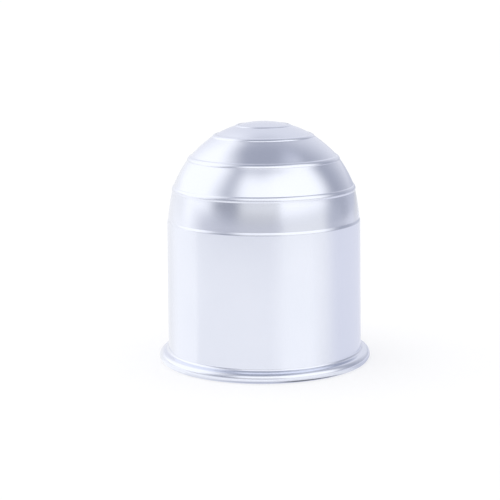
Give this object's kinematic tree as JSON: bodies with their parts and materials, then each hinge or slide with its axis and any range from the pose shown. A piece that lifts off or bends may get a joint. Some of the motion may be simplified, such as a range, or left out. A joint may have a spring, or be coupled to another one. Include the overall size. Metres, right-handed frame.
{
  "type": "tow ball cover",
  "caption": "Domed cap that slips over a trailer tow ball to keep it clean and dry, with fine raised rings round its dome, a plain body and a beaded rim; satin silver plated plastic.",
  "frame": {"origin": "centre of the plane that the rim rests on, on the cap's axis", "axes": "+Z along the cap's axis, from the mouth up to the crown of the dome; X and Y are free, as the cap is round"},
  "size_m": [0.0596, 0.0596, 0.067],
  "materials": {
    "plated_plastic": "satin silver plating on moulded ABS plastic"
  },
  "bodies": {
    "root": {"cover_shell": "plated_plastic"}
  },
  "joints": []
}
